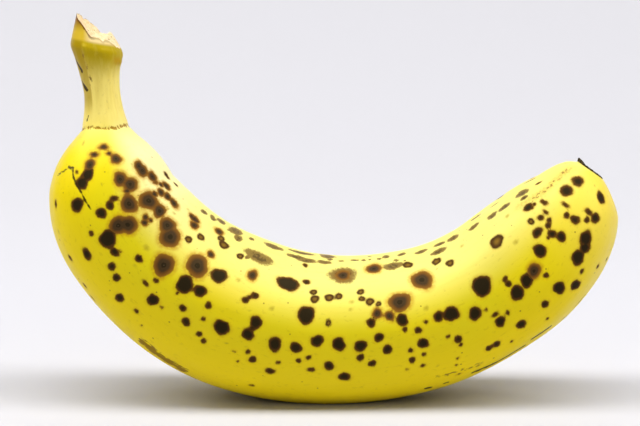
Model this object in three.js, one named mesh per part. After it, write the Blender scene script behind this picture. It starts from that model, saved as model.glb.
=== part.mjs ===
// A ripe banana, one grown piece, resting on the outside of its curve with the broken stem up.
// Millimetres, +Z up, +X from the stem end towards the blossom end. The origin is on the surface
// the fruit rests on, under the middle of its bounding box.
import * as THREE from "three";

// Driving dimensions. "Along" is measured on the centreline, from the lip under the broken stem.
const LENGTH = 186.5; // lip to blossom scar
const STEM_LENGTH = 20; // lip to the seam where the stem meets the fruit
const START = { x: -58.4, z: 88.4, heading: -83 }; // the lip's centre; heading in degrees from +X

// The curve of the fruit as arcs, each [length, degrees it turns].
const BENDS = [
  [22, -4],
  [12, 4],
  [14, 30],
  [22, 22],
  [28, 24.5],
  [30, 21],
  [34, 31],
  [24.5, 24.5],
];

// Half the thickness in the plane of the curve, each [along, half thickness].
const GIRTH = [
  [0, 6.1],
  [1, 6.2],
  [3, 5.7],
  [6.5, 4.9],
  [11, 4.4],
  [15.5, 4.8],
  [STEM_LENGTH - 0.4, 5.8],
  [STEM_LENGTH + 0.3, 6.2],
  [22.5, 8],
  [25, 10.3],
  [29, 13.2],
  [35, 15.7],
  [43, 17.3],
  [57, 18.4],
  [77, 19.4],
  [99, 18.8],
  [122, 18.1],
  [145, 17.2],
  [157, 17],
  [166, 15.9],
  [173, 14.2],
  [178, 12],
  [182, 9.3],
  [185, 6.3],
  [LENGTH, 3.8],
];

// Five soft ridges run from stem to tip. Angles go round a section in degrees: 0 is the front,
// 90 the inside of the curve, 270 the outside. The ridges twist a little towards both ends.
const RIDGES = [22, 90, 158, 238, 302];
const RIDGE_WIDTH = 24; // degrees over which a ridge fades
const RIDGE_HEIGHT = 0.06; // share of the half thickness
const STEM_TWIST = { angle: 12, from: 75, to: 30 };
const TIP_TWIST = { angle: 26, from: 120, to: 178 };

// The stem was snapped off, so its end slants and is highest on the outside of the curve.
const LIP_LEAN = 17; // degrees the lip tilts down towards the inside of the curve
const LIP_LEAN_LENGTH = 9; // how far down the stem that tilt fades
const BREAK_RISE = { middle: 4.1, outside: 3.5, back: 0.5 }; // rim above the lip
const BREAK_TUFT = { rise: 1.8, angle: 135, width: 22 }; // torn fibres at the back
const BREAK_TAPER = 0.33; // how much narrower the stem gets for each millimetre above the lip
const BREAK_HOLLOW = 1; // how far the torn face dishes in at its middle

// The dry scar where the flower was.
const SCAR_THICKNESS = 0.9;
const SCAR_RADIUS = 3.6;
const SCAR_LEAN = 14.5; // degrees towards the outside of the curve
const SCAR_LEAN_LENGTH = 8;

const AROUND = 40; // faces round a section
const SKIN_ROWS = 80; // sections from lip to scar
const TURN = 360;
const rad = THREE.MathUtils.degToRad;
const { smoothstep, euclideanModulo } = THREE.MathUtils;

// Sine, cosine and bell curve of angles in degrees.
const sin = (degrees) => Math.sin(rad(degrees));
const cos = (degrees) => Math.cos(rad(degrees));
const bell = (angle, middle, width) =>
  Math.exp(-(((euclideanModulo(angle - middle + TURN / 2, TURN) - TURN / 2) / width) ** 2));

// The centreline at a distance along it: where it is and which way it heads.
function spineAt(along) {
  let { x, z, heading } = START;
  let left = along;
  for (const [length, turn] of BENDS) {
    const step = Math.min(left, length);
    const ahead = heading + (turn * step) / length;
    const radius = length / rad(turn);
    x += radius * (sin(ahead) - sin(heading));
    z -= radius * (cos(ahead) - cos(heading));
    heading = ahead;
    left -= step;
  }
  return { x, z, heading };
}

// How far the ridges have twisted at a distance along the fruit.
function twistAt(along) {
  const stem = 1 - smoothstep(along, STEM_TWIST.to, STEM_TWIST.from);
  const tip = smoothstep(along, TIP_TWIST.from, TIP_TWIST.to);
  return STEM_TWIST.angle * stem + TIP_TWIST.angle * tip;
}

// How far the skin stands out at an angle, as a share of the half thickness.
function ridgeShape(angle, twist) {
  const bumps = RIDGES.map((ridge) => bell(angle, ridge + twist, RIDGE_WIDTH));
  return 1 + RIDGE_HEIGHT * bumps.reduce((sum, bump) => sum + bump, 0);
}

// A point round the centreline. "ahead" moves it along the fruit's heading.
function pointAt(along, radius, angle, ahead) {
  const { x, z, heading } = spineAt(along);
  const twist = twistAt(along);
  const inside = ridgeShape(TURN / 4, twist);
  const outside = ridgeShape(-TURN / 4, twist);
  const out = (2 * radius * ridgeShape(angle, twist)) / (inside + outside);
  const inward = out * sin(angle) - (radius * (inside - outside)) / (inside + outside);
  return new THREE.Vector3(
    x - sin(heading) * inward + cos(heading) * ahead,
    -out * cos(angle),
    z + cos(heading) * inward + sin(heading) * ahead,
  );
}

// A row of the skin. It leans at the lip and at the scar.
function skinRow(along, radius) {
  return (angle) => {
    const nearLip = 1 - smoothstep(along, 0, LIP_LEAN_LENGTH);
    const nearScar = smoothstep(along, LENGTH - SCAR_LEAN_LENGTH, LENGTH);
    const slope = nearLip * Math.tan(rad(LIP_LEAN)) + nearScar * Math.tan(rad(SCAR_LEAN));
    return pointAt(along, radius, angle, slope * radius * sin(angle));
  };
}

// A row of the broken end: "height" is its share of the rim's rise above the lip, and "share" is
// how far out from the middle of the torn face it is.
function breakRow(height, share) {
  return (angle) => {
    const { middle, outside, back } = BREAK_RISE;
    const tuft = BREAK_TUFT.rise * bell(angle, BREAK_TUFT.angle, BREAK_TUFT.width);
    const rim = middle - outside * sin(angle) - back * cos(angle) + tuft;
    const floor = middle - BREAK_HOLLOW;
    const rise = height * (floor + (rim - floor) * share);
    const radius = share * (GIRTH[0][1] - BREAK_TAPER * height * rim);
    const lean = Math.tan(rad(LIP_LEAN)) * radius * sin(angle);
    return pointAt(0, radius, angle, lean - rise);
  };
}

// A row of the scar, at a height above the end of the skin.
function scarRow(height, radius) {
  return (angle) => {
    const lean = Math.tan(rad(SCAR_LEAN)) * radius * sin(angle);
    return pointAt(LENGTH, radius, angle, lean + height);
  };
}

// All rows, from the middle of the torn face to the middle of the scar.
function bananaRows() {
  const girth = new THREE.SplineCurve(GIRTH.map(([along, half]) => new THREE.Vector2(along, half)));
  return [
    ...[0, 0.35, 0.7, 0.9, 1].map((share) => breakRow(1, share)),
    ...[0.7, 0.35].map((height) => breakRow(height, 1)),
    ...girth.getPoints(SKIN_ROWS).map((at) => skinRow(at.x, at.y)),
    scarRow(SCAR_THICKNESS * 0.2, SCAR_RADIUS),
    scarRow(SCAR_THICKNESS, SCAR_RADIUS * 0.9),
    scarRow(SCAR_THICKNESS * 0.7, SCAR_RADIUS * 0.4),
    scarRow(SCAR_THICKNESS, 0),
  ];
}

// A sphere's grid of vertices, pulled out row by row into the fruit.
function bananaGeometry() {
  const rows = bananaRows();
  const geometry = new THREE.SphereGeometry(1, AROUND, rows.length - 1);
  const position = geometry.getAttribute("position");
  const columns = AROUND + 1;
  for (let i = 0; i < position.count; i++) {
    const row = rows[Math.floor(i / columns)];
    const point = row(((i % columns) / AROUND) * TURN);
    position.setXYZ(i, point.x, point.y, Math.max(point.z, 0)); // flattened where it rests
  }
  geometry.computeBoundingBox();
  const { min, max } = geometry.boundingBox;
  geometry.translate(-(min.x + max.x) / 2, -(min.y + max.y) / 2, 0);
  geometry.computeVertexNormals();
  return geometry;
}

const peel = new THREE.MeshStandardMaterial({ color: 0xe9d21c, roughness: 0.45, metalness: 0 });

const banana = new THREE.Mesh(bananaGeometry(), peel);
banana.name = "banana";

const fruit = new THREE.Group();
fruit.add(banana);

export default fruit;
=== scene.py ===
import bpy
import math
import numpy as np
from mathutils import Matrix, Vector, noise


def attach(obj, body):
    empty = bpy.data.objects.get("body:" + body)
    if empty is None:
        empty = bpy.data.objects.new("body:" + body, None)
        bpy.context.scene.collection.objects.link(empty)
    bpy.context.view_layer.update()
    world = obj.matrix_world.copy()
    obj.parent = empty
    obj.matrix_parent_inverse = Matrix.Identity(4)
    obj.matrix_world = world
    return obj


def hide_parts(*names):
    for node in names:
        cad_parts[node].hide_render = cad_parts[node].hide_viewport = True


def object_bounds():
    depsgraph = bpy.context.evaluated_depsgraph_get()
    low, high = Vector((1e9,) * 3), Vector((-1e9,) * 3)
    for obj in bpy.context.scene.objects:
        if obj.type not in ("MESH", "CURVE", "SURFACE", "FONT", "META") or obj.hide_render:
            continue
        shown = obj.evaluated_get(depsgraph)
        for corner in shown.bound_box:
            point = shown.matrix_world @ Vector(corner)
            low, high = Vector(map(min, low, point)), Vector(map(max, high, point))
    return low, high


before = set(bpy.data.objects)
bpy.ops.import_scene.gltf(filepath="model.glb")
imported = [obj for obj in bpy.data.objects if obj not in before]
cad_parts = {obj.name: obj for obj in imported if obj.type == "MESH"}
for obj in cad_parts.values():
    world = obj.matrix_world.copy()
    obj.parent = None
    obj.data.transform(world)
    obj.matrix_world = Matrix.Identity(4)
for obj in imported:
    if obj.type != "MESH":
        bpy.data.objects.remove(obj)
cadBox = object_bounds()
mm = 0.001


def linearColor(code, alpha=1.0):       # sRGB hex to linear
    channels = [int(code[i:i + 2], 16) / 255 for i in (1, 3, 5)]
    return tuple(c / 12.92 if c <= 0.04045 else ((c + 0.055) / 1.055) ** 2.4 for c in channels) + (alpha,)


def addNode(tree, kind, inputs=(), out=0, **settings):   # gives back one of the node's outputs
    node = tree.nodes.new("ShaderNode" + kind)
    for name, value in settings.items():
        setattr(node, name, value)
    pairs = inputs.items() if isinstance(inputs, dict) else enumerate(inputs)
    for socket, value in pairs:
        if isinstance(value, bpy.types.NodeSocket):
            tree.links.new(value, node.inputs[socket])
        else:
            node.inputs[socket].default_value = value
    return node.outputs[out] if node.outputs else None


# the fruit's form, in millimetres; "along" runs down the centreline from the lip of the stem
fruit = {
    "length": 186.5,        # lip to blossom scar
    "stemLength": 20.0,
    "start": (-58.4, 88.4, -83.0),      # x, z and heading of the centreline at the lip
    "bends": [(22, -4), (12, 4), (14, 30), (22, 22), (28, 24.5), (30, 21), (34, 31), (24.5, 24.5)],
    "girth": [(0, 6.1), (1, 6.2), (3, 5.7), (6.5, 4.9), (11, 4.4), (15.5, 4.8), (19.6, 5.8), (20.3, 6.2),
              (22.5, 8), (25, 10.3), (29, 13.2), (35, 15.7), (43, 17.3), (57, 18.4), (77, 19.4), (99, 18.8),
              (122, 18.1), (145, 17.2), (157, 17), (166, 15.9), (173, 14.2), (178, 12), (182, 9.3), (185, 6.3),
              (186.5, 3.8)],
    "ridges": (22, 90, 158, 238, 302),  # angles round a section: 0 front, 90 inside of the curve
    "ridgeWidth": 24.0,
    "ridgeHeight": 0.06,
    "stemTwist": (12.0, 75.0, 30.0),
    "tipTwist": (26.0, 120.0, 178.0),
    "lipLean": (17.0, 9.0),             # degrees, and the length over which the lean fades
    "scarLean": (14.5, 8.0),
    "undulation": 0.16,     # slow hollows in the skin
    "fibreRelief": 0.03,    # lengthwise strands under the skin
    "stemGrooves": 0.16,
    "spotDip": 0.07,        # dead skin shrinks a little
}


def smooth(value, start, end):
    t = np.clip((value - start) / (end - start), 0, 1)
    return t * t * (3 - 2 * t)


def bell(angle, middle, width):
    return np.exp(-(((angle - middle + 180) % 360 - 180) / width) ** 2)


def spineAt(along):
    x, z, heading = fruit["start"]
    left = along
    for length, turn in fruit["bends"]:
        step = min(left, length)
        ahead = heading + turn * step / length
        radius = length / math.radians(turn)
        x += radius * (math.sin(math.radians(ahead)) - math.sin(math.radians(heading)))
        z -= radius * (math.cos(math.radians(ahead)) - math.cos(math.radians(heading)))
        heading = ahead
        left -= step
    return x, z, heading


def curveAt(along):                     # how sharply the centreline turns, per millimetre
    left = along
    for length, turn in fruit["bends"]:
        if left <= length:
            return math.radians(turn) / length
        left -= length
    return 0.0


def twistAt(along):
    stemAngle, stemFar, stemNear = fruit["stemTwist"]
    tipAngle, tipFrom, tipTo = fruit["tipTwist"]
    return stemAngle * (1 - smooth(along, stemNear, stemFar)) + tipAngle * smooth(along, tipFrom, tipTo)


def ridgeShape(angle, twist):
    return 1 + fruit["ridgeHeight"] * sum(bell(angle, ridge + twist, fruit["ridgeWidth"])
                                          for ridge in fruit["ridges"])


def girthAt(along):                     # a soft curve through the girth stations
    stations = np.array(fruit["girth"], float)
    last = len(stations) - 1
    t = np.linspace(0, last, 3000)
    i = np.minimum(t.astype(int), last - 1)
    w = (t - i)[:, None]
    p0, p1, p2, p3 = (stations[np.clip(i + k, 0, last)] for k in (-1, 0, 1, 2))
    v0, v1 = (p2 - p0) / 2, (p3 - p1) / 2
    curve = ((2 * p1 - 2 * p2 + v0 + v1) * w ** 3 + (-3 * p1 + 3 * p2 - 2 * v0 - v1) * w ** 2 + v0 * w + p1)
    return np.interp(along, curve[:, 0], curve[:, 1])


def pointsAt(along, radius, angle, ahead):      # one row of points round the centreline
    x, z, heading = spineAt(max(along, 0.0))
    h, a = math.radians(heading), np.radians(angle)
    twist = twistAt(along)
    inside, outside = ridgeShape(90.0, twist), ridgeShape(-90.0, twist)
    out = 2 * radius * ridgeShape(angle, twist) / (inside + outside)
    inward = out * np.sin(a) - radius * (inside - outside) / (inside + outside)
    return np.stack([x - math.sin(h) * inward + math.cos(h) * ahead, -out * np.cos(a),
                     z + math.cos(h) * inward + math.sin(h) * ahead], axis=-1)


# the snapped end of the stem
tornEnd = {
    "middle": 4.1, "outside": 3.5, "back": 0.5,         # height of the rim above the lip
    "tuft": (2.7, 128.0, 19.0),                         # a tuft of fibres left standing at the back
    "taper": 0.33,
    "hollow": 1.3,
    "ragged": 0.55,         # how uneven the rim is
    "fibres": 0.35,         # strands standing out of the torn face
    "notches": ((-3.0, 15.0, 1.1), (27.0, 5.0, 0.6), (44.0, 22.0, -0.9), (104.0, 6.0, 0.5),
                (170.0, 9.0, 0.6), (222.0, 7.0, 0.5)),
}


def rimAt(angle):
    tuftRise, tuftAngle, tuftWidth = tornEnd["tuft"]
    a = np.radians(angle)
    rim = tornEnd["middle"] - tornEnd["outside"] * np.sin(a) - tornEnd["back"] * np.cos(a)
    rim = rim + tuftRise * bell(angle, tuftAngle, tuftWidth)
    for at, width, depth in tornEnd["notches"]:
        rim = rim - depth * bell(angle, at, width)
    strands = np.array([noise.noise(Vector((3.1 * math.cos(t), 3.1 * math.sin(t), 1.7)) * 1.4)
                        + 0.6 * noise.noise(Vector((3.1 * math.cos(t), 3.1 * math.sin(t), 9.2)) * 4.5) for t in a])
    return rim + tornEnd["ragged"] * strands * (0.55 + 0.45 * np.cos(a - math.radians(150)))


# sugar spots: (along, angle, size) or (along, angle, size along, size around)
crispSpots = [
    (29.3, -27, .7), (30, -14.5, 3), (31.8, -20, 3), (33.2, 77, 1.6, 1.4), (39.3, 80, 1.3, .7),
    (36.2, -25, 3.3), (35.6, -50, 1.4, .9), (36.4, 9, 1.3, 2), (37.8, 4.5, 2), (39, -4.5, 2.6),
    (42.3, -19, 1.3), (45.4, -31, 2.9, 2.1), (44.7, -50, 1.5, 1), (44.8, -8, 4.3),
    (48, -9, 2.4, 1.9), (48.6, -5, .7), (50.2, -18.5, 2), (52.7, -21.5, 2), (52.8, 3, 1.9), (58, -6.5, 1.6, 1),
    (59.4, .5, 1.2), (50, -55, 1.2, .7), (52.8, -60, 1.2, .4), (56.3, -32, 2.3), (61.8, -13, 2.9), (60.7, -30, 1.2),
    (63.5, -37.5, .5), (64.4, -13.5, .7), (65.6, 11.5, 4.2), (65.3, 3, .7), (69.8, 13.5, 2.9), (72.2, 30, 4, 3.6),
    (73.4, 7.5, 1.6), (68.4, -4, 1.7), (70.7, -12, 2.1), (73.9, -3, 1), (74.6, -15.5, 1.4), (76.2, -19, 1.3),
    (81.5, 21.5, 1.6), (82.3, 24.5, 1.2), (83.6, 27, 1.7), (86, 9, 3), (85.7, 4.5, 1.6), (78.6, -3, 3.8),
    (85, -1, 2.9), (91.8, -3.5, 3, 3.7), (96.8, -3.5, 2.7), (98.4, 21.5, 4.2), (101.7, 3, 2.9), (100, -10.5, 1.2),
    (97.8, -14, 1.2), (93.4, -18, 1), (92, -27, 2.4, 1.6), (87.7, -20, 1.8), (86.2, -14.5, 1.1), (83.3, -17.5, .6),
    (84.7, -25, .5), (100.8, -21, 1.8, 1.1), (89, -45, 1, .6), (92, 44.5, 5.2, 4.2),
    (97.5, 49.5, 1.6), (96.5, 67.5, 1.2),
    (115.2, 16, 2.1), (123.2, 15, 2.9), (123.4, 7.5, 1.2), (126.6, 4.5, 1.6), (128.9, 9.5, .9), (127, -7, 2.6),
    (123.8, -10.5, 1.2), (126.6, -17, 1), (123.7, -19.5, 1.6), (125.8, -26.8, 1), (122.2, -27.3, .6),
    (118.5, -6, 2.3), (116.8, 4.5, 2.2), (112.2, -1, 2.9), (112, -10.5, 1.8), (114.6, -16.5, 1.8), (107, 1, 3.2),
    (104.8, -17, 2.4), (108.3, -27, 3.1, 2.2), (132.3, 10.5, 2.4), (135.6, 9, 3.7), (141, 1, 3, 3.4),
    (143.8, -.5, .7), (145.1, -8.3, 1.6, 1), (145.3, -16, 2.6), (147.7, -12.7, 1.1), (133, -7.8, .9),
    (135, -13.3, 1.9), (135.1, -19, .9), (133.5, -30, .6), (132.8, -36, .5), (132.6, -47.5, .9, .5),
    (135, -45.5, .4), (140.4, -33, 1.5), (142.2, -33, 1.8), (145.3, -38.6, .8), (145.8, 18, 5, 4.6),
    (151.8, 12, 1.3), (151.8, 7.5, 1.6), (152.2, -3, 3.5), (155.8, 0, 3.2), (160, -8, 1.3), (155.6, -26.5, 1.9),
    (160.2, -24.5, 3.1), (166.1, -32, 1.2), (163.1, -36, 2.8), (167.9, -20.5, 3.9, 3.2), (170.5, -21.5, 2.6),
    (172.3, -17.5, 3.9, 3), (168.9, -51, 1.1), (171, -68, .8), (154, -40.5, .8), (148.9, -28.7, 2.4),
    (170.2, 46, 2.6, 2), (171.9, 44, .9), (166.3, 23, 2.7, 2.1), (163.2, 10.5, 3.2), (179.7, 28, 2.2, 3.2),
    (182.3, -22, 2.5), (182.8, 23, 1.9, 3), (177.8, -9, 1.3, 2), (176, -10, 1.3),
    (177.3, -18.5, 2.3), (174.6, 1.5, 1.8, 2.6),
    (174.4, 11.5, 1.4), (176.5, 19, .9, 1.7), (174, 38, 1.1, 1.8), (172, 30, .8, 1.3), (170, 30, 1.4),
    (170.8, 22.5, 1.2), (169.6, 20, 1.4), (168.5, 12, 1.8, 2.4), (167.1, 12.8, .8), (169.3, 4, 2.4),
    (177.8, 68, 1.1, .8),
]
agedSpots = [                           # older ones, dried to grey-brown inside a darker ring
    (31.8, 18, 3.2), (45, 27, 1.5), (46.3, 24, 1.6), (46.9, 29, 1), (24, 4, 1.1, 2.2), (25.6, -9, 1.1, 2),
    (25.6, 11, .8, 1.2), (27, 18, 2.4), (27.8, -13, 2.6), (29.4, 41, 2.6),
    (30.6, 43, 3.2), (32.6, 53, 2.8), (33.4, 26, 3.4), (35, 22, 1.2, 1.8), (36, 59, 1.3), (37.5, 65, 2.2),
    (38.8, 45, 1.7), (38.9, 20, 4.2), (39.2, 53, 2.2), (40.3, 36.5, 4.8), (42.5, 57, 2.2), (43.2, 5, 4.4),
    (44.2, 12, 4.4), (46, 40, 3.8), (47.3, 58, 3.2, 2.2), (51.3, 37, 4.2), (54.3, 32, 5.2), (54.7, 63, 1.6),
    (56, 63, 2.2), (57, 63, 1.4), (57.3, 57, 2.4), (58.3, 13, 5.1), (65.3, 68, 2.2), (65.5, 28, 5.4),
    (67, 42, 1.9), (81, 42, 2.4, 2.9), (108.3, 59.5, 3.6, 3.2), (117.8, 66, 4, 3.2),
    (117.1, 22.5, 2.4), (120.2, 19.5, 2.3), (123.5, 28.8, 5), (131.1, 43.8, 5.2), (158.7, 2, 3.6, 3.2),
]
ringedSpots = [                         # young ones, a thin brown ring round paler skin
    (58.8, 41, 1.8), (61.3, 51, 1.9), (67.1, 62, 1.8), (69, 57, 2.4), (75.3, 54, 1.7), (99.8, 40.5, 1.5),
    (100.3, 34.5, 2), (104.3, 36.5, 2), (107, 38, 1.7), (104.3, 16.8, 1.1, 1.7), (113.2, 41.5, 1.6),
    (113.3, 35.5, 1.4), (115.5, 32.5, 1.9), (117.8, 30, 1.3), (128.2, 64.5, 2.3), (137.3, 58, 2.2), (140.9, 49.5, 2),
    (156.3, 41, 3.5, 3), (167.4, 34, 1.5),
]
smears = [                              # spots run together along the inside of the curve
    (57, 79, 1.8), (60.3, 82, 1.2), (61, 79, 1.8), (64, 83, 2.5), (70.3, 80, 4), (72.2, 72, 2.4), (72.4, 69, .9),
    (76.5, 79, 1.5), (67.8, 76, .6), (81, 61, 8, 3.8), (81.3, 61, 3), (77.5, 56, 1.3), (84.5, 81, 5.5, 2.5),
    (93.5, 76, 6, 1.8), (95, 85, 7, 2), (102.3, 74.5, 3.5, 1.8), (103.5, 87, 4), (107.8, 78, 1.8, .8),
    (108.3, 59.5, 7.4, 5.4), (97, 74, 5, 2),
    (104.3, 79.5, 1.2), (112.1, 80, 2.2, 1), (115, 79.5, 1.2), (117, 80, .9), (117, 87, 1), (120, 79.5, 1.2),
    (122.2, 82, 1.9), (125.1, 73.5, 1.2), (126.5, 80.5, 1.2), (127.5, 82, 1.6), (127.8, 71, .6),
    (123.8, 66.5, 5.2, 2.8), (133.8, 78, 3.2, 1.6), (140.5, 79.5, 3, 1.6), (139.3, 69.5, 4.6, 2),
    (145.5, 79, 3.4, 2.2), (153.3, 75.5, 3.2, 1.8), (155.8, 90, 3, 1), (160.4, 71, 3.1, 2.2), (165.4, 70, 3.3, 2.2),
    (163.5, 89, 3, .5), (172.5, 70, 3.4, 3), (171.7, 60, 2.2, 1.4), (177, 92, 3, .8),
]
faintSpots = [                          # just starting, olive or amber
    (28.8, 33, .5), (33.5, 38, .5), (33.6, -13, .4), (32.4, 0, .5), (40, -52, .6), (47.5, 48, .8), (45.5, 50, .4),
    (46.3, 49, .4), (50, 50, .8), (52.3, 66, .7), (52, 13, 1.4), (53.6, -3, .7), (47.8, -57, .5), (75, 32, .5),
    (77.7, 33.5, 1.1), (80.3, 27, .4), (83.3, 15.5, .6), (85.2, -11, .6), (81, -13, 1, .4), (89, 21.5, 1.1),
    (96.5, 40, .5), (108.4, -7.5, .5), (110.5, 33, 1.1), (110.2, 27, .8), (112, -38, .4), (117.4, -25, .4),
    (117.4, -29.5, .4), (120.5, -29, .4), (129.1, -31, .6), (130, 19.5, 1.2), (136.5, 49.5, .4), (137.5, -45, 1),
    (146.7, 61, 1), (160.3, 30, 1.2), (163.9, 55, 1.2), (184, -8, .4), (184.5, 80, .6), (23, -32, 1, .6),
]
hiddenSpots = {"seed": 11, "count": 250, "angles": (101.0, 276.0), "along": (27.0, 183.0), "sizes": (0.7, 4.6)}

# scratches and rubs: points (along, angle) joined by a line of that width
scratches = [
    {"width": 0.36, "points": [(30, -55), (28.2, -38), (28.2, -33), (29.7, -31), (31.6, -27), (34, -20), (36, -16),
                              (37.5, -13)]},
    {"width": 0.5, "points": [(28.1, -39.5), (28.4, -32)]},
    {"width": 0.8, "points": [(3.7, -64), (4.7, -56), (5.7, -48)]},          # bruised lines down the stem
    {"width": 0.8, "points": [(7.9, -66), (9.1, -54), (10.2, -43)]},
    {"width": 0.3, "points": [(16.6, -41), (17.8, -44)]},
    {"width": 0.9, "points": [(135.5, -54), (141, -57), (147, -58)]},
    {"width": 0.9, "points": [(149, -54), (153.5, -57)]},
    {"width": 0.6, "points": [(156, -69), (157.2, -70)]}, {"width": 0.5, "points": [(159.5, -70), (163, -71)]},
    {"width": 0.8, "points": [(125.4, -55), (126.6, -55)]}, {"width": 0.7, "points": [(129.3, -55), (130, -55)]},
    {"width": 0.5, "points": [(38, 150), (47, 143), (52, 146)]},             # and a few more at the back
    {"width": 0.4, "points": [(122, 205), (131, 199)]},
]
rubs = [                                # brown, scuffed ridges
    {"width": 0.5, "strength": 0.34, "points": [(2.2, -25), (6, -20), (9.5, -22)]},
    {"width": 4.2, "strength": 1.0, "points": [(65.8, -53), (69, -55), (75, -57)]},
    {"width": 1.6, "strength": 0.35, "points": [(170, 52), (175.5, 48), (183.5, 52)]},
    {"width": 1.2, "strength": 0.4, "points": [(128, -42), (137, -45)]},
    {"width": 2.4, "strength": 0.6, "points": [(88, 236), (99, 239)]},
    {"width": 1.6, "strength": 0.5, "points": [(150, 160), (160, 166)]},
]

mesh = {
    "frontColumns": 150, "backColumns": 106,            # closer together where most of the spots are
    "stations": [(0, 0.3), (9, 0.4), (18.4, 0.22), (21, 0.45), (30, 0.63), (165, 0.5), (178, 0.35), (186.5, 0.35)],
}


def columnAngles():
    front = np.linspace(-90, 90, mesh["frontColumns"], endpoint=False)
    back = np.linspace(90, 270, mesh["backColumns"], endpoint=False)
    return np.concatenate([front, back])


def skinStations():                     # distances along the fruit, with the spacing of each stretch
    places = [0.0]
    stretches = mesh["stations"]
    while places[-1] < fruit["length"]:
        step = next(gap for start, gap in reversed(stretches) if places[-1] >= start - 1e-6)
        places.append(places[-1] + step)
    places = np.array(places)
    return places * fruit["length"] / places[-1]


def leanAt(along, radius, angle):       # the ends slant across the centreline
    lipLean, lipFar = fruit["lipLean"]
    scarLean, scarFar = fruit["scarLean"]
    slope = (1 - smooth(along, 0, lipFar)) * math.tan(math.radians(lipLean))
    slope = slope + smooth(along, fruit["length"] - scarFar, fruit["length"]) * math.tan(math.radians(scarLean))
    return slope * radius * np.sin(np.radians(angle))


def seamWave(angle):                    # the seam isn't level: millimetres it wanders along the stem
    return 0.28 * np.sin(np.radians(angle * 3 + 20)) + 0.5 * bell(angle, 95.0, 35.0) + 0.45 * bell(angle, -75.0, 35.0)


def buildRows():
    angle = columnAngles()
    rim = rimAt(angle)
    lipRadius = fruit["girth"][0][1]
    rows, along, torn, share = [], [], [], []
    ahead = math.tan(math.radians(fruit["lipLean"][0]))
    floor = tornEnd["middle"] - tornEnd["hollow"]
    for reach in (0.1, 0.22, 0.34, 0.46, 0.57, 0.67, 0.76, 0.84, 0.9, 0.95, 0.98):       # torn face
        strands = np.array([noise.noise(Vector((reach * 5 * math.cos(t), reach * 5 * math.sin(t), 0)) * 1.1) +
                            0.8 * noise.noise(Vector((reach * 5 * math.cos(t), reach * 5 * math.sin(t), 4)) * 3.4)
                            for t in np.radians(angle)])
        rise = floor + (rim - floor) * reach ** 2.2 + tornEnd["fibres"] * strands * min(1, 3 * (1 - reach) + 0.25)
        radius = reach * (lipRadius - tornEnd["taper"] * rim)
        rows.append(pointsAt(0, radius, angle, ahead * radius * np.sin(np.radians(angle)) - rise))
        along.append(-rise)
        torn.append(np.full(angle.shape, 1.0))
        share.append(np.full(angle.shape, reach))
    for height in (1.0, 0.97, 0.92, 0.85, 0.77, 0.68, 0.58, 0.48, 0.38, 0.28, 0.18, 0.09):       # skin above the lip
        rise = rim * height
        radius = lipRadius - tornEnd["taper"] * rise
        rows.append(pointsAt(0, radius, angle, ahead * radius * np.sin(np.radians(angle)) - rise))
        along.append(-rise)
        torn.append(np.full(angle.shape, 0.5 if height == 1 else 0.0))
        share.append(1 + rim * (1 - height))            # 1 at the rim, then millimetres below it
    stations = skinStations()
    wave = seamWave(angle)
    for place in stations:
        nearSeam = bell(place * 12, fruit["stemLength"] * 12, 30.0) if abs(place - 20) < 8 else 0.0
        radius = girthAt(np.clip(place - wave * nearSeam, 0, fruit["length"]))
        rows.append(pointsAt(place, radius, angle, leanAt(place, radius, angle)))
        along.append(np.full(angle.shape, place))
        torn.append(np.zeros(angle.shape))
        share.append(np.full(angle.shape, 20.0))
    return angle, np.array(rows), np.array(along), np.array(torn), np.array(share), len(stations)


blossomScar = {"radius": 3.6, "lift": 0.5, "peak": 0.75, "ragged": 0.3}


def scarRows(angle):
    slope = math.tan(math.radians(fruit["scarLean"][0]))
    rows = []
    for share, height in ((1.05, 0.15), (1.06, 0.4), (1.0, 0.62), (0.9, 0.75), (0.78, 0.7), (0.62, 0.55), (0.44, 0.5),
                          (0.26, 0.6), (0.12, 0.66)):
        t = np.radians(angle)
        edge = np.array([noise.noise(Vector((4 * math.cos(v), 4 * math.sin(v), share * 2))) +
                         0.7 * noise.noise(Vector((9 * math.cos(v), 9 * math.sin(v), share * 3))) for v in t])
        radius = blossomScar["radius"] * share * (1 + 0.07 * edge - 0.1 * bell(angle, 270.0, 60.0))
        raised = height * blossomScar["lift"] + blossomScar["ragged"] * edge * min(1, height * 2)
        raised = raised + blossomScar["peak"] * bell(angle, 90.0, 40.0) * share ** 2 * min(1, height * 2)
        rows.append(pointsAt(fruit["length"], radius, angle, slope * radius * np.sin(t) + raised))
    return np.array(rows)


print("banana: laying out the skin")
angle, rows, along, torn, share, stationCount = buildRows()
cap = scarRows(angle)
capRows = len(cap)
rows = np.concatenate([rows, cap])
along = np.concatenate([along, np.full((capRows, len(angle)), fruit["length"]) + np.linspace(.3, 3, capRows)[:, None]])
torn = np.concatenate([torn, np.zeros((capRows, len(angle)))])
share = np.concatenate([share, np.full((capRows, len(angle)), 20.0)])
rowCount, columnCount = rows.shape[:2]
skinStart = rowCount - capRows - stationCount
angles = np.broadcast_to(angle, (rowCount, columnCount))
placeOfRow = along[:, 0].clip(0, fruit["length"])

# centreline, radius and how much the skin is stretched along at each vertex
centre = np.array([[spineAt(p)[0], 0, spineAt(p)[1]] for p in placeOfRow])
reach = np.linalg.norm(rows - centre[:, None, :], axis=2)
sine, cosine = np.sin(np.radians(angles)), np.cos(np.radians(angles))
bend = np.array([curveAt(p) for p in placeOfRow])[:, None]
stretch = np.clip(1 - bend * reach * sine, 0.45, 1.6)
straight = np.stack([along, reach * cosine, reach * sine], axis=-1)


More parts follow.
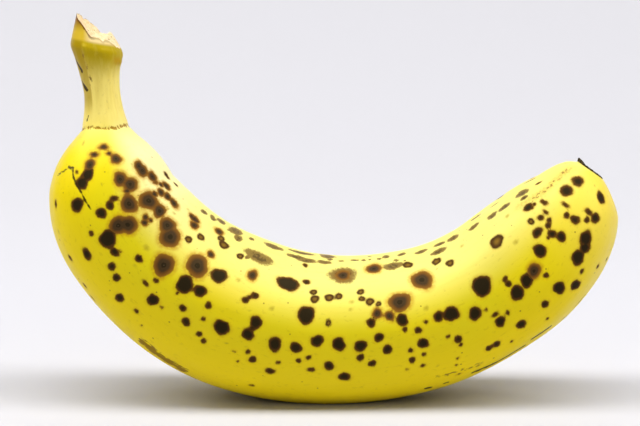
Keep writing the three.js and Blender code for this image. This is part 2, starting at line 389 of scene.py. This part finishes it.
def hiddenList():
    rng = np.random.default_rng(hiddenSpots["seed"])
    found = []
    while len(found) < hiddenSpots["count"]:
        place, turn = rng.uniform(*hiddenSpots["along"]), rng.uniform(*hiddenSpots["angles"])
        small, large = hiddenSpots["sizes"]
        size = small + (large - small) * rng.random() ** 1.9
        if turn > 225 and rng.random() < 0.72:          # fewer on the outside of the curve
            continue
        if any(math.hypot(place - p, (turn - a) * 0.3) < (size + s) * 0.56 for p, a, s, kind in found):
            continue
        found.append((place, turn, size, rng.choice(3, p=(0.62, 0.24, 0.14))))
    return found


# fields that the peel's material reads, all in millimetres unless they are shares
edge = np.full((rowCount, columnCount), 9.0)            # to the edge of the nearest spot, negative inside
within = np.full((rowCount, columnCount), 3.0)          # 0 at the spot's middle, 1 at its edge
age = np.zeros((rowCount, columnCount))                 # 0 crisp, 0.5 ringed, 1 aged
amber = np.zeros((rowCount, columnCount))
smear = np.zeros((rowCount, columnCount))
faint = np.zeros((rowCount, columnCount))


def spotDistance(spot):                 # rows it reaches, distance as a share of its radius, radius
    place, turn, sizeAlong = spot[:3]
    sizeAround = spot[3] if len(spot) > 3 else sizeAlong
    window = np.nonzero(np.abs(placeOfRow - place) < sizeAlong * 2.2 + 3)[0]
    window = window[(window >= skinStart) & (window < rowCount - capRows)]
    if not len(window):
        return None
    nearest = window[np.argmin(np.abs(placeOfRow[window] - place))]
    radius = np.interp((turn + 90) % 360, angle + 90, reach[nearest])
    part = slice(window[0], window[-1] + 1)
    dAlong = (along[part] - place) * stretch[part]
    dAround = ((angles[part] - turn + 180) % 360 - 180) * math.radians(1) * radius
    direction = np.arctan2(dAround, dAlong)
    seed = place * 7.3 + turn * 1.9
    wobble = 1 + 0.07 * np.sin(2 * direction + seed) + 0.05 * np.sin(3 * direction + 2.3 * seed)
    wobble += 0.03 * np.sin(5 * direction + 3.1 * seed)
    away = np.hypot(dAlong / (sizeAlong / 2), dAround / (sizeAround / 2)) / wobble
    return part, away, min(sizeAlong, sizeAround) / 2


def stampSpots(spots, kind):
    for spot in spots:
        found = spotDistance(spot)
        if found is None:
            continue
        part, away, radius = found
        gap = (away - 1) * radius - 0.1
        nearer = gap < edge[part]
        edge[part] = np.where(nearer, gap, edge[part])
        within[part] = np.where(nearer, away, within[part])
        age[part] = np.where(nearer, kind, age[part])
        reachOut = {0.0: 0.4, 0.5: 0.3, 1.0: 0.6}[kind] * (0.5 + 0.35 * radius)
        glow = {0.0: 0.5, 0.5: 0.45, 1.0: 0.85}[kind] * (1 - smooth(gap, 0.0, reachOut * 1.6))
        amber[part] = np.maximum(amber[part], glow)


def stampSoft(field, spots, strength):
    for spot in spots:
        found = spotDistance(spot)
        if found is not None:
            part, away, radius = found
            field[part] = np.maximum(field[part], strength * (1 - smooth(away, 0.35, 1.45)))


hidden = hiddenList()
stampSpots(crispSpots + [s[:3] for s in hidden if s[3] == 0], 0.0)
stampSpots(ringedSpots + [s[:3] for s in hidden if s[3] == 2], 0.5)
stampSpots(agedSpots + [s[:3] for s in hidden if s[3] == 1], 1.0)
stampSoft(smear, smears, 1.0)
stampSoft(faint, faintSpots, 0.9)
stampSoft(amber, [(2.8, 62, 2.8, 3.2)], 0.6)            # tan knob under the lip
print("banana:", len(crispSpots) + len(ringedSpots) + len(agedSpots) + len(hidden), "spots,", len(smears), "smears")


def lineDistance(points):               # millimetres from a line drawn on the skin
    best = np.full((rowCount, columnCount), 9.0)
    places = [p[0] for p in points]
    window = np.nonzero((placeOfRow > min(places) - 8) & (placeOfRow < max(places) + 8))[0]
    window = window[(window >= skinStart) & (window < rowCount - capRows)]
    part = slice(window[0], window[-1] + 1)
    size = reach[part]
    for (place0, turn0), (place1, turn1) in zip(points, points[1:]):
        x = (along[part] - place0) * stretch[part]
        y = ((angles[part] - turn0 + 180) % 360 - 180) * math.radians(1) * size
        dx = (place1 - place0) * stretch[part]
        dy = ((turn1 - turn0 + 180) % 360 - 180) * math.radians(1) * size
        t = np.clip((x * dx + y * dy) / (dx * dx + dy * dy + 1e-9), 0, 1)
        best[part] = np.minimum(best[part], np.hypot(x - t * dx, y - t * dy))
    return best


scratch = np.full((rowCount, columnCount), 9.0)
for line in scratches:
    scratch = np.minimum(scratch, lineDistance(line["points"]) - line["width"] / 2)
rub = np.zeros((rowCount, columnCount))
for line in rubs:
    rub = np.maximum(rub, line["strength"] * (1 - smooth(lineDistance(line["points"]), 0.1, line["width"] / 2 + 0.5)))

tipRidge = {"width": 3.4, "strength": 0.55, "points": [(169, 54), (175.5, 48), (184, 51)]}
ridge = lineDistance(tipRidge["points"])
crossed = 0.75 + 0.25 * np.sin(along * 7.5 + ridge * 3)             # fine stripes across it
amber = np.maximum(amber, tipRidge["strength"] * crossed * (1 - smooth(ridge, 0.0, tipRidge["width"] / 2 + 0.6)))

seam = np.abs(along - (fruit["stemLength"] - 0.35 + seamWave(angles)))
facetShade = smooth(-((angles + 22 + 180) % 360 - 180), 0, 7) * smooth((angles + 128 + 180) % 360 - 180, 0, 20)
facetShade = facetShade * (1 - smooth(along, 12, 17))             # the flat side of the stem, where shade is painted darker

# relief: everything below pushes the skin in or out a little
dents = {
    "undulationSize": (17.0, 8.0),      # length and width of a hollow
    "strandSize": (15.0, 1.5),
    "stemCorner": (0.22, -21.0, 6.0),   # the stem's front corner: height, angle, width
    "knob": (0.45, 74.0, 13.0, 3.2, 1.3),       # a knob under the lip, also where it is and its length
    "smear": 0.09, "scratch": 0.12, "rub": 0.05, "seam": 0.12,
}
print("banana: relief")
flat = straight.reshape(-1, 3)
slow, strand = (
    np.array([noise.noise(Vector((p[0] / length, p[1] / width, p[2] / width))) for p in flat]).reshape(angles.shape)
    for length, width in (dents["undulationSize"], dents["strandSize"]))
onSkin = np.zeros((rowCount, 1))
onSkin[skinStart:rowCount - capRows] = 1
onFruit = smooth(along, 20, 27) * onSkin
onStem = (1 - smooth(along, 18.5, 19.6)) * onSkin
relief = fruit["undulation"] * slow * onFruit + fruit["fibreRelief"] * strand * onFruit
cornerRise, cornerAngle, cornerWidth = dents["stemCorner"]
corner = cornerRise * bell(angles, cornerAngle, cornerWidth)
relief += fruit["stemGrooves"] * strand * onStem + corner * onStem * (1 - smooth(along, 11, 17))
knobRise, knobAngle, knobWidth, knobAt, knobLength = dents["knob"]
relief += knobRise * bell(angles, knobAngle, knobWidth) * np.exp(-((along - knobAt) / knobLength) ** 2)
relief -= fruit["spotDip"] * (1 - smooth(edge, -0.45, 0.1)) * onSkin + dents["smear"] * smear * onSkin
relief -= dents["scratch"] * (1 - smooth(scratch, -0.2, 0.2)) * onSkin
relief += dents["rub"] * rub * strand - dents["seam"] * (1 - smooth(seam, 0.0, 0.35)) * onSkin

dAcross = np.roll(rows, -1, axis=1) - np.roll(rows, 1, axis=1)
dDown = np.gradient(rows, axis=0)
normals = np.cross(dDown, dAcross)
normals /= np.linalg.norm(normals, axis=2, keepdims=True) + 1e-12
outward = np.sum(normals * (rows - centre[:, None, :]), axis=2, keepdims=True)
normals *= np.where(outward[skinStart:-capRows].mean() > 0, 1, -1)
rows = rows + normals * (relief * np.ones((rowCount, columnCount)))[..., None] * onSkin[..., None]


def buildBanana():
    lowest, highest = np.array(cadBox[0]) / mm, np.array(cadBox[1]) / mm
    points = rows.reshape(-1, 3).copy()
    points[:, 0] -= centreShift
    top, bottom = points[:columnCount].mean(axis=0), points[-columnCount:].mean(axis=0)
    points = np.concatenate([points, [top, bottom]])
    points = np.clip(points, lowest, highest)           # flat where it rests
    faces = []
    for r in range(rowCount - 1):
        for c in range(columnCount):
            d = (c + 1) % columnCount
            this, below = r * columnCount, (r + 1) * columnCount
            faces.append((this + c, below + c, below + d, this + d))
    topAt, bottomAt = rowCount * columnCount, rowCount * columnCount + 1
    last = (rowCount - 1) * columnCount
    for c in range(columnCount):
        d = (c + 1) % columnCount
        faces.append((topAt, c, d))
        faces.append((bottomAt, last + d, last + c))
    data = bpy.data.meshes.new("banana_skin")
    data.from_pydata([tuple(p * mm) for p in points], [], faces)
    data.validate()
    data.shade_smooth()
    ends = (straight[0].mean(axis=0), straight[-1].mean(axis=0))

    def addField(name, values, poles):
        attribute = data.attributes.new(name, "FLOAT_VECTOR", "POINT")
        full = np.concatenate([np.stack(values, axis=-1).reshape(-1, 3), np.array(poles, float)])
        attribute.data.foreach_set("vector", full.astype(np.float32).ravel())

    capZone = np.zeros((rowCount, columnCount))
    capZone[rowCount - capRows:] = 1
    addField("straight", [straight[..., k] for k in range(3)], ends)
    addField("spots", [edge, within, age], [(9, 3, 0), (9, 3, 0)])
    addField("soft", [amber, smear, faint], [(0, 0, 0), (0, 0, 0)])
    addField("marks", [scratch, rub, seam], [(9, 0, 9), (9, 0, 9)])
    addField("ends", [torn, capZone, share], [(1, 0, 0), (0, 1, 20)])
    addField("stem", [facetShade, np.sin(np.radians(angles)), np.cos(np.radians(angles))], [(0, 0, 0), (0, 0, 0)])
    piece = bpy.data.objects.new("banana_peel", data)
    bpy.context.collection.objects.link(piece)
    return piece


middle = (rows[:, :, 0].min() + rows[:, :, 0].max()) / 2
centreShift = middle - (cadBox[0][0] + cadBox[1][0]) / 2 / mm
print("banana: shift", round(float(centreShift), 3))
banana = buildBanana()
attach(banana, "root")
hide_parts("banana")


# Banana peel, grown round the fruit and coated in its own wax: a soft, broad shine over yellow that
# dies back to dull brown spots as the fruit ripens.
peel = {
    "lemon": "#E2D214", "deep": "#F4D803", "strand": "#D9B50C", "warm": "#F6DD66",         # healthy skin
    "straw": "#FFEA7E", "green": "#B89E04", "facetShade": "#AA8A0A", "paintedHighlight": "#FCF3B4",        # stem, the painted shade on its flat side, and the painted highlight on top
    "amber": "#C08A0E", "faint": "#A88E1E", "smear": "#643F12",
    "crisp": "#170C06", "crispEdge": "#63390A",
    "agedEye": "#6E5A42", "agedPupil": "#1E130B", "agedMiddle": "#3C2A1A", "agedRing": "#5E3A16",
    "agedEdge": "#865718",
    "ringPale": "#86631C", "ringDark": "#46290C",
    "scratch": "#2A1404", "rub": "#7A5216", "seam": "#A0720C",
    "torn": "#F0D6AC", "tornFibre": "#DCBF8A", "tornEdge": "#6A3E0C", "wedge": "#8F5D14",  # snapped end
    "lipSkin": "#D9B62C", "peeled": "#F0D89A",
    "scar": "#221A0C", "scarDust": "#5A4A34",
    "mottle": 24.0,         # millimetres across a paler or deeper patch
    "strandGap": 0.9,       # between the lengthwise strands, which are finer in life: drawn so that they show
    "stemStrandGap": 0.8,
    "fibreGap": 0.7,        # between the torn fibres, also coarser than in life
    "fuzz": 0.9,            # how finely soft brown patches break up
    "wander": 1.0,          # how finely a spot's edge wanders
    "wear": 3.0,            # patches where the wax is thinner
    "grain": 0.35,          # pores in the skin
    "freckleGap": 3.4,
    "grainDepth": 0.06,
    "roughness": 0.43, "deadRoughness": 0.72, "ior": 1.45, "specular": 0.36, "specularTint": "#FFE890",
}


def ripePeel():
    material = bpy.data.materials.new("banana_peel_waxed_ripe")
    material.use_nodes = True
    tree = material.node_tree
    tree.nodes.clear()
    tint = {name: linearColor(code) for name, code in peel.items() if isinstance(code, str)}
    soft = {"interpolation_type": "SMOOTHSTEP"}
    mix = {"data_type": "RGBA", "out": 2}
    fields = {}
    for name in ("straight", "spots", "soft", "marks", "ends", "stem"):
        vector = addNode(tree, "Attribute", attribute_name=name, out="Vector")
        fields[name] = vector, addNode(tree, "SeparateXYZ", [vector]).node.outputs
    place, (distance, _, _) = fields["straight"]
    edgeGap, insideSpot, spotAge = fields["spots"][1]
    amberAt, smearAt, faintAt = fields["soft"][1]
    scratchGap, rubAt, seamGap = fields["marks"][1]
    tornAt, capAt, rimShare = fields["ends"][1]
    facetAt, upward, _ = fields["stem"][1]

    # every cloudy pattern: size in millimetres, detail and how it is stretched along the fruit
    cloud = {}
    for name, size, detail, stretched in (
            ("mottle", peel["mottle"], 2.0, 1.0), ("strands", peel["strandGap"], 3.0, 0.06),
            ("stemStrands", peel["stemStrandGap"], 3.0, 0.09), ("fuzz", peel["fuzz"], 3.0, 1.0),
            ("rubbed", 0.7, 3.0, 0.5), ("wander", peel["wander"], 2.0, 1.0), ("dots", 0.6, 3.0, 0.6),
            ("fibres", peel["fibreGap"], 4.0, 0.4), ("flecks", 0.8, 3.0, 1.0), ("wear", peel["wear"], 3.0, 1.0),
            ("grain", peel["grain"], 2.0, 0.6)):
        vector = place
        if stretched != 1.0:
            vector = addNode(tree, "VectorMath", [place, (stretched, 1.0, 1.0)], operation="MULTIPLY")
        cloud[name] = addNode(tree, "TexNoise", {"Vector": vector, "Scale": 1 / size, "Detail": detail})

    # healthy skin: lemon, deeper in patches; then painted light: a deeper yellow underneath for the shaded side, and a
    # pale painted highlight on top near the stem
    patches = addNode(tree, "MapRange", [cloud["mottle"], 0.35, 0.68, 0.0, 0.45], **soft)
    color = addNode(tree, "Mix", {0: patches, 6: tint["lemon"], 7: tint["deep"]}, **mix)
    # painted light: the underside, turned away from the overhead light, is given the deeper yellow of its shaded side,
    # made bright to lift that shade
    under = addNode(tree, "MapRange", [upward, 0.2, -0.85, 0.0, 0.85], **soft)
    color = addNode(tree, "Mix", {0: under, 6: color, 7: tint["deep"]}, **mix)
    # painted highlight: the upper face near the stem is paled as if washed out by the overhead light
    nearStem = addNode(tree, "MapRange", [distance, 70.0, 28.0, 0.4, 0.9], **soft)
    onTop = addNode(tree, "MapRange", [upward, 0.12, 0.85], **soft)
    paintedHighlightShare = addNode(tree, "Math", [onTop, nearStem], operation="MULTIPLY")
    color = addNode(tree, "Mix", {0: paintedHighlightShare, 6: color, 7: tint["paintedHighlight"]}, **mix)
    lines = addNode(tree, "MapRange", [cloud["strands"], 0.5, 0.75, 0.0, 0.08], **soft)
    color = addNode(tree, "Mix", {0: lines, 6: color, 7: tint["strand"]}, **mix)
    nearTip = addNode(tree, "MapRange", [distance, 160.0, 184.0, 0.0, 0.6], **soft)
    color = addNode(tree, "Mix", {0: nearTip, 6: color, 7: tint["warm"]}, **mix)

    # the stem: straw, greener under the lip, with painted shade on its flat side
    onStem = addNode(tree, "MapRange", [distance, 27.0, 16.0, 0.0, 0.95], **soft)
    color = addNode(tree, "Mix", {0: onStem, 6: color, 7: tint["straw"]}, **mix)
    stemLines = addNode(tree, "MapRange", [cloud["stemStrands"], 0.35, 0.7], **soft)
    lineDepth = addNode(tree, "MapRange", [distance, 21.0, 14.0, 0.0, 0.22], **soft)
    stemLines = addNode(tree, "Math", [stemLines, lineDepth], operation="MULTIPLY")
    color = addNode(tree, "Mix", {0: stemLines, 6: color, 7: tint["strand"]}, **mix)
    nearLip = addNode(tree, "MapRange", [distance, 9.5, 1.5], **soft)
    broken = addNode(tree, "MapRange", [cloud["stemStrands"], 0.2, 0.55, 0.86, 1.0], **soft)
    greenness = addNode(tree, "Math", [nearLip, broken], operation="MULTIPLY")
    color = addNode(tree, "Mix", {0: greenness, 6: color, 7: tint["green"]}, **mix)
    # painted shade: the stem's flat side, turned from the light, is coloured darker
    facetShadeShare = addNode(tree, "Math", [facetAt, 0.65], operation="MULTIPLY")
    color = addNode(tree, "Mix", {0: facetShadeShare, 6: color, 7: tint["facetShade"]}, **mix)

    # amber, faint, smeared and rubbed patches
    fuzzy = addNode(tree, "MapRange", [cloud["fuzz"], 0.25, 0.6, 0.35, 0.9], **soft)
    amber = addNode(tree, "Math", [amberAt, fuzzy], operation="MULTIPLY")
    color = addNode(tree, "Mix", {0: amber, 6: color, 7: tint["amber"]}, **mix)
    faint = addNode(tree, "Math", [faintAt, 0.75], operation="MULTIPLY")
    color = addNode(tree, "Mix", {0: faint, 6: color, 7: tint["faint"]}, **mix)
    uneven = addNode(tree, "MapRange", [cloud["fuzz"], 0.3, 0.7, -0.12, 0.12], **soft)
    smearEdge = addNode(tree, "Math", [smearAt, uneven], operation="ADD")
    smeared = addNode(tree, "MapRange", [smearEdge, 0.12, 0.62, 0.0, 0.86], **soft)
    color = addNode(tree, "Mix", {0: smeared, 6: color, 7: tint["smear"]}, **mix)
    smearCore = addNode(tree, "MapRange", [smearEdge, 0.82, 1.08, 0.0, 0.75], **soft)
    color = addNode(tree, "Mix", {0: smearCore, 6: color, 7: tint["agedMiddle"]}, **mix)
    scuffed = addNode(tree, "MapRange", [cloud["rubbed"], 0.3, 0.7, -0.45, 0.25], **soft)
    rubEdge = addNode(tree, "Math", [rubAt, scuffed], operation="ADD")
    rubbed = addNode(tree, "MapRange", [rubEdge, 0.15, 0.6, 0.0, 0.85], **soft)
    color = addNode(tree, "Mix", {0: rubbed, 6: color, 7: tint["rub"]}, **mix)

    # pinprick freckles, here and there on the fruit
    specks = addNode(tree, "TexVoronoi", {"Vector": place, "Scale": 1 / peel["freckleGap"]}, out="Distance")
    specks = addNode(tree, "MapRange", [specks, 0.09, 0.03, 0.0, 0.7], **soft)
    pastSeam = addNode(tree, "MapRange", [distance, 18.0, 24.0], **soft)
    freckled = addNode(tree, "Math", [specks, pastSeam], operation="MULTIPLY")
    color = addNode(tree, "Mix", {0: freckled, 6: color, 7: tint["rub"]}, **mix)

    # sugar spots: their edges wander a little and stay sharp
    wander = addNode(tree, "Math", [cloud["wander"], 0.5], operation="SUBTRACT")
    wobble = addNode(tree, "Math", [wander, 0.5], operation="MULTIPLY")
    gap = addNode(tree, "Math", [edgeGap, wobble], operation="ADD")
    ramps = {}
    for kind, stops in (
            ("aged", ((0.0, "agedEye"), (0.11, "agedPupil"), (0.22, "agedPupil"), (0.3, "agedMiddle"),
                      (0.52, "agedMiddle"), (0.68, "agedRing"), (1.0, "agedEdge"))),
            ("ringed", ((0.15, "ringPale"), (0.7, "ringDark")))):
        ramps[kind] = addNode(tree, "ValToRGB", [insideSpot])
        elements = ramps[kind].node.color_ramp.elements
        elements[0].position, elements[-1].position = stops[0][0], stops[-1][0]
        elements[0].color, elements[-1].color = tint[stops[0][1]], tint[stops[-1][1]]
        for at, name in stops[1:-1]:
            elements.new(at).color = tint[name]
    crispEdge = addNode(tree, "MapRange", [gap, -0.8, 0.1], **soft)
    spotColor = addNode(tree, "Mix", {0: crispEdge, 6: tint["crisp"], 7: tint["crispEdge"]}, **mix)
    isRinged = addNode(tree, "MapRange", [spotAge, 0.1, 0.4], **soft)
    spotColor = addNode(tree, "Mix", {0: isRinged, 6: spotColor, 7: ramps["ringed"]}, **mix)
    isAged = addNode(tree, "MapRange", [spotAge, 0.6, 0.9], **soft)
    spotColor = addNode(tree, "Mix", {0: isAged, 6: spotColor, 7: ramps["aged"]}, **mix)
    inSpot = addNode(tree, "MapRange", [gap, 0.24, -0.2], **soft)
    color = addNode(tree, "Mix", {0: inSpot, 6: color, 7: spotColor}, **mix)

    # scratches, and the dotted brown seam where stem meets fruit
    shaky = addNode(tree, "Math", [wander, 0.7], operation="MULTIPLY")
    thin = addNode(tree, "Math", [scratchGap, shaky], operation="ADD")
    inScratch = addNode(tree, "MapRange", [thin, 0.2, -0.1, 0.0, 0.95], **soft)
    color = addNode(tree, "Mix", {0: inScratch, 6: color, 7: tint["scratch"]}, **mix)
    dots = addNode(tree, "MapRange", [cloud["dots"], 0.3, 0.65, 0.4, -0.35], **soft)
    dots = addNode(tree, "Math", [seamGap, dots], operation="ADD")
    onSeam = addNode(tree, "MapRange", [dots, 0.42, 0.0, 0.0, 0.9], **soft)
    color = addNode(tree, "Mix", {0: onSeam, 6: color, 7: tint["seam"]}, **mix)

    # above the lip: yellow skin browning up to the torn edge
    higher = addNode(tree, "MapRange", [distance, -2.8, -6.6], **soft)
    wall = addNode(tree, "Mix", {0: higher, 6: tint["lipSkin"], 7: tint["wedge"]}, **mix)
    inner = addNode(tree, "MapRange", [upward, -0.45, 0.0], **soft)
    peeling = addNode(tree, "MapRange", [distance, -0.3, -1.6], **soft)
    peeling = addNode(tree, "Math", [inner, peeling], operation="MULTIPLY")
    wall = addNode(tree, "Mix", {0: peeling, 6: wall, 7: tint["peeled"]}, **mix)
    rimEdge = addNode(tree, "Math", [rimShare, wander], operation="ADD")
    rimEdge = addNode(tree, "MapRange", [rimEdge, 1.85, 1.15], **soft)
    outer = addNode(tree, "MapRange", [upward, 0.25, -0.25, 0.35, 1.0], **soft)
    browned = addNode(tree, "Math", [rimEdge, outer], operation="MULTIPLY")
    wall = addNode(tree, "Mix", {0: browned, 6: wall, 7: tint["tornEdge"]}, **mix)
    aboveLip = addNode(tree, "MapRange", [distance, -0.6, -1.7], **soft)
    color = addNode(tree, "Mix", {0: aboveLip, 6: color, 7: wall}, **mix)

    # the pale fibres inside the snapped end, and the dry scar at the tip
    stringy = addNode(tree, "MapRange", [cloud["fibres"], 0.4, 0.7], **soft)
    pith = addNode(tree, "Mix", {0: stringy, 6: tint["torn"], 7: tint["tornFibre"]}, **mix)
    flecks = addNode(tree, "MapRange", [cloud["flecks"], 0.64, 0.72], **soft)
    pith = addNode(tree, "Mix", {0: flecks, 6: pith, 7: tint["tornEdge"]}, **mix)
    tornShare = addNode(tree, "MapRange", [tornAt, 0.5, 0.9], **soft)
    color = addNode(tree, "Mix", {0: tornShare, 6: color, 7: pith}, **mix)
    dusty = addNode(tree, "MapRange", [cloud["flecks"], 0.45, 0.7], **soft)
    dry = addNode(tree, "Mix", {0: dusty, 6: tint["scar"], 7: tint["scarDust"]}, **mix)
    capShare = addNode(tree, "MapRange", [capAt, 0.2, 0.7], **soft)
    color = addNode(tree, "Mix", {0: capShare, 6: color, 7: dry}, **mix)

    # gloss: wax on the skin, duller where it has died or torn
    dead = addNode(tree, "Math", [inSpot, tornAt], operation="MAXIMUM")
    dead = addNode(tree, "Math", [dead, capAt], operation="MAXIMUM")
    dead = addNode(tree, "Math", [dead, rubAt], operation="MAXIMUM")
    rough = addNode(tree, "MapRange", [dead, 0.0, 1.0, peel["roughness"], peel["deadRoughness"]], **soft)
    worn = addNode(tree, "MapRange", [cloud["wear"], 0.3, 0.7, -0.04, 0.05], **soft)
    rough = addNode(tree, "Math", [rough, worn], operation="ADD")

    # pores and strands, too shallow to model; the torn fibres stand out more
    grain = addNode(tree, "Math", [cloud["grain"], 0.5], operation="MULTIPLY")
    lines = addNode(tree, "Math", [cloud["strands"], 0.25], operation="MULTIPLY")
    height = addNode(tree, "Math", [grain, lines], operation="ADD")
    tornHeight = addNode(tree, "Math", [cloud["fibres"], tornAt], operation="MULTIPLY")
    tornHeight = addNode(tree, "Math", [tornHeight, 3.0], operation="MULTIPLY")
    height = addNode(tree, "Math", [height, tornHeight], operation="ADD")
    bump = addNode(tree, "Bump", {"Strength": 0.25, "Distance": peel["grainDepth"] * mm, "Height": height})
    shader = addNode(tree, "BsdfPrincipled", {
        "Base Color": color, "Roughness": rough, "IOR": peel["ior"], "Normal": bump,
        "Specular IOR Level": peel["specular"], "Specular Tint": tint["specularTint"],
    })
    addNode(tree, "OutputMaterial", {"Surface": shader})
    return material


banana.data.materials.append(ripePeel())
print("banana: peel done")

# studio: a seamless pale sweep, one large soft light overhead and a weak fill
studio = {
    "sweep": "#C8C7CB", "sweepStart": -1.8, "sweepBack": 0.35, "sweepRadius": 1.2, "sweepWidth": 6.0, "sweepTop": 2.6,
    "keySize": (6.0, 0.75), "keyAt": (-0.02, -0.32, 1.8), "keyPower": 104.0, "keyAim": (0.0, 0.0, 0.03),
    "fillSize": (1.2, 1.0), "fillAt": (0.1, -1.3, 0.9), "fillPower": 3.0, "fillAim": (0.0, 0.0, 0.04),
    "washSize": (1.0, 0.4), "washAt": (0.02, 0.75, 1.5), "washPower": 3.0, "washAim": (0.02, 1.1, 0.1),
    "ambient": "#F3F2FA", "ambientStrength": 0.06,
}


def buildSweep():
    back, radius = studio["sweepBack"], studio["sweepRadius"]
    profile = [(studio["sweepStart"], 0.0), (back, 0.0)]
    profile += [(back + radius * math.sin(t), radius - radius * math.cos(t))
                for t in np.linspace(0.05, math.pi / 2, 24)]
    profile.append((back + radius, studio["sweepTop"]))
    half = studio["sweepWidth"] / 2
    points = [(side * half, y, z) for y, z in profile for side in (-1, 1)]
    faces = [(2 * i, 2 * i + 1, 2 * i + 3, 2 * i + 2) for i in range(len(profile) - 1)]
    data = bpy.data.meshes.new("sweep")
    data.from_pydata(points, [], faces)
    data.shade_smooth()
    piece = bpy.data.objects.new("sweep", data)
    bpy.context.collection.objects.link(piece)
    paper = bpy.data.materials.new("uncoated_background_paper")     # rolled pulp: scatters light, no gloss
    paper.use_nodes = True
    shader = paper.node_tree.nodes["Principled BSDF"]
    shader.inputs["Base Color"].default_value = linearColor(studio["sweep"])
    shader.inputs["Roughness"].default_value = 0.9
    shader.inputs["Specular IOR Level"].default_value = 0.1
    data.materials.append(paper)


def addLight(name, size, at, power, aim):
    light = bpy.data.lights.new(name, "AREA")
    light.shape = "RECTANGLE"
    light.size, light.size_y = size
    light.energy = power
    piece = bpy.data.objects.new(name, light)
    bpy.context.collection.objects.link(piece)
    piece.location = at
    piece.rotation_euler = (Vector(aim) - Vector(at)).to_track_quat("-Z", "Y").to_euler()


buildSweep()
for name, part in (("key_overhead", "key"), ("fill_front", "fill"), ("wash_backdrop", "wash")):
    addLight(name, studio[part + "Size"], studio[part + "At"], studio[part + "Power"], studio[part + "Aim"])
world = bpy.data.worlds.new("studio_room")
bpy.context.scene.world = world
world.use_nodes = True
world.node_tree.nodes["Background"].inputs["Color"].default_value = linearColor(studio["ambient"])
world.node_tree.nodes["Background"].inputs["Strength"].default_value = studio["ambientStrength"]

# camera, level with the fruit and a little above it
view = {"elevation": 8.0, "distance": 0.4, "lens": 90.0, "target": (-0.0034, 0.0, 0.047)}
lens = bpy.data.cameras.new("camera")
lens.lens, lens.sensor_width = view["lens"], 36.0
camera = bpy.data.objects.new("camera", lens)
bpy.context.collection.objects.link(camera)
tilt = math.radians(view["elevation"])
camera.location = Vector(view["target"]) + view["distance"] * Vector((0, -math.cos(tilt), math.sin(tilt)))
camera.rotation_euler = (math.pi / 2 - tilt, 0, 0)
bpy.context.scene.camera = camera
bpy.context.scene.view_settings.view_transform = "Standard"

print("studio and camera done")
